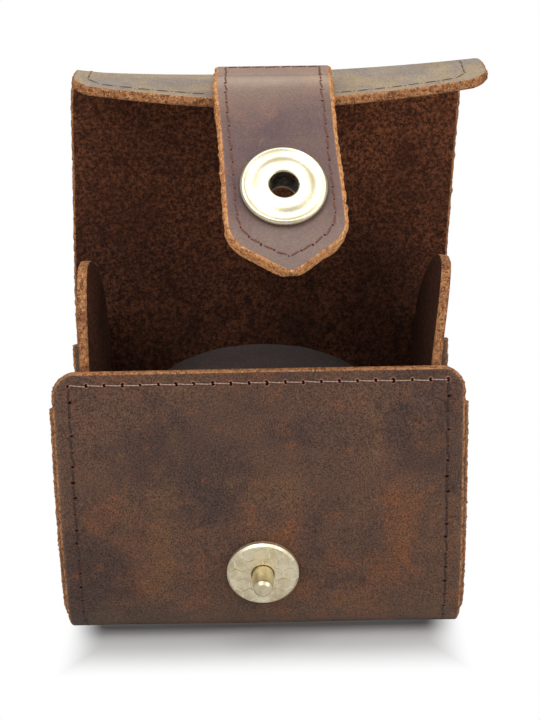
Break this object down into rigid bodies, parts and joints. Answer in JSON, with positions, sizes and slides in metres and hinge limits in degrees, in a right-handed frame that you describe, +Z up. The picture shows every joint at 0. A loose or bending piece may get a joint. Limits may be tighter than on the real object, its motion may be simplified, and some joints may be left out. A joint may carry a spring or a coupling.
{
  "type": "watch travel case",
  "caption": "Small upright leather case with a hinged lid and flap, a strap with a ring snap that closes on a stud, folding side ears and a loose padded cushion.",
  "frame": {"origin": "centre of the case's width and depth, on the plane it stands on", "axes": "+X to the case's right side as the viewer faces its front, +Y from front to back, +Z up"},
  "size_m": [0.0957, 0.0693, 0.1311],
  "materials": {
    "grain_leather": "matte pull-up leather, worn",
    "suede_leather": "suede, the leather's flesh side",
    "thread": "waxed thread",
    "antique_brass": "pale antique brass",
    "steel": "plain steel",
    "cushion_suede": "dark microsuede",
    "foam": "soft foam"
  },
  "bodies": {
    "case": {"wrap_body": "grain_leather", "left_gusset": "suede_leather", "right_gusset": "suede_leather", "hem_thread": "thread", "left_seam_thread": "thread", "right_seam_thread": "thread", "stud_cap": "antique_brass", "stud_pin": "antique_brass", "stud_washer": "steel"},
    "lid": {"lid_flap": "grain_leather", "lid_thread": "thread", "strap_anchor": "grain_leather", "anchor_thread": "thread"},
    "strap_root": {"strap_bend": "grain_leather"},
    "strap": {"strap_outer": "grain_leather", "strap_lining": "suede_leather", "strap_thread": "thread", "socket_ring": "antique_brass", "socket_barrel": "steel", "socket_magnet": "steel", "socket_plate": "antique_brass"},
    "left_ear": {"left_ear": "suede_leather"},
    "right_ear": {"right_ear": "suede_leather"},
    "cushion": {"cushion_band": "cushion_suede", "cushion_front": "cushion_suede", "cushion_back": "cushion_suede", "cushion_foam": "foam"}
  },
  "joints": [
    {"name": "lid_fold", "type": "hinge", "parent": "case", "child": "lid", "pos_m": [0, 0.0259, 0.0711], "axis": [1, 0, 0], "range_deg": [-25, 82]},
    {"name": "strap_hang", "type": "hinge", "parent": "lid", "child": "strap_root", "pos_m": [0.0044, -0.01054, 0.12497], "axis": [0.9659, -0.104, 0.237], "range_deg": [-54.14, 16.52]},
    {"name": "strap_latch", "type": "hinge", "parent": "strap_root", "child": "strap", "pos_m": [0.00476, -0.01382, 0.12121], "axis": [0.9955, 0.094, 0.0125], "range_deg": [-60, 22]},
    {"name": "left_ear_fold", "type": "hinge", "parent": "case", "child": "left_ear", "pos_m": [-0.03875, -0.0008, 0.066], "axis": [0, 1, 0], "range_deg": [-27.46, 90.02]},
    {"name": "right_ear_fold", "type": "hinge", "parent": "case", "child": "right_ear", "pos_m": [0.03875, -0.0008, 0.066], "axis": [0, -1, 0], "range_deg": [-28.98, 95.02]},
    {"name": "cushion_lift", "type": "slide", "parent": "case", "child": "cushion", "axis": [0, 0, 1], "range_m": [0, 0.004]}
  ],
  "couplings": [
    {"joint": "strap_hang", "follows": "lid_fold", "ratio": -0.66},
    {"joint": "left_ear_fold", "follows": "lid_fold", "ratio": 1.0976},
    {"joint": "right_ear_fold", "follows": "lid_fold", "ratio": 1.1585}
  ]
}
